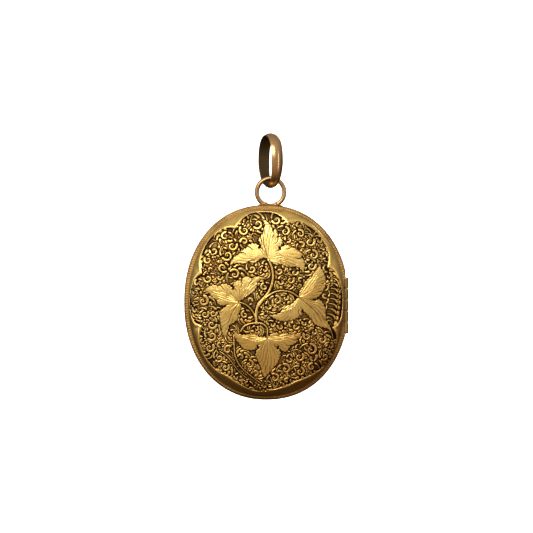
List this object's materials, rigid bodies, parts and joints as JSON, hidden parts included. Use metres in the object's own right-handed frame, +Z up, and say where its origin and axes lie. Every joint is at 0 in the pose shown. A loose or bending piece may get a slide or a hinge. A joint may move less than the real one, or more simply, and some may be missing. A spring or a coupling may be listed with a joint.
{
  "type": "locket",
  "caption": "Oval gold picture locket with an engraved leaf and scroll front, a side hinge, two glazed frames inside, a soldered ring and a loose oval bail.",
  "frame": {"origin": "highest point of the bail's inner face, at the middle of its band, where a chain bears", "axes": "+Z up as the locket hangs, +X to the right seen from the front, -Y out of the engraved front, +Y out of the back"},
  "size_m": [0.0363, 0.0095, 0.0589],
  "materials": {
    "cover_gold": "hand-engraved warm yellow gold, bright on the raised work and brown in the cuts",
    "rim_gold": "worn satin yellow gold",
    "bezel_gold": "polished yellow gold",
    "pin_gold": "drawn wire, dull",
    "rose_gold": "polished rose gold with fine scratches",
    "glass": "clear old glass",
    "picture_paper": "plain aged paper, blank",
    "backing_card": "brown pasteboard"
  },
  "bodies": {
    "bail": {"bail": "rose_gold"},
    "case": {"suspension_ring": "rose_gold", "ring_foot": "rose_gold", "back_cover": "cover_gold", "back_rim": "rim_gold", "snap_lip": "rim_gold", "back_bezel": "bezel_gold", "back_glass": "glass", "back_picture": "picture_paper", "back_card": "backing_card", "hinge_knuckle_top": "rim_gold", "hinge_knuckle_middle": "rim_gold", "hinge_knuckle_bottom": "rim_gold", "hinge_pin": "pin_gold"},
    "cover": {"front_cover": "cover_gold", "front_rim": "rim_gold", "front_bezel": "bezel_gold", "front_glass": "glass", "front_picture": "picture_paper", "front_card": "backing_card", "front_knuckle_upper": "rim_gold", "front_knuckle_lower": "rim_gold"}
  },
  "joints": [
    {"name": "bail_swing", "type": "hinge", "parent": "bail", "child": "case", "pos_m": [0, 0, -0.00933], "axis": [0.8988, 0.4384, 0], "range_deg": [-110, 110]},
    {"name": "cover_hinge", "type": "hinge", "parent": "case", "child": "cover", "pos_m": [0.01655, -0.00059, -0.0374], "axis": [0, 0, 1], "range_deg": [0, 170]}
  ]
}
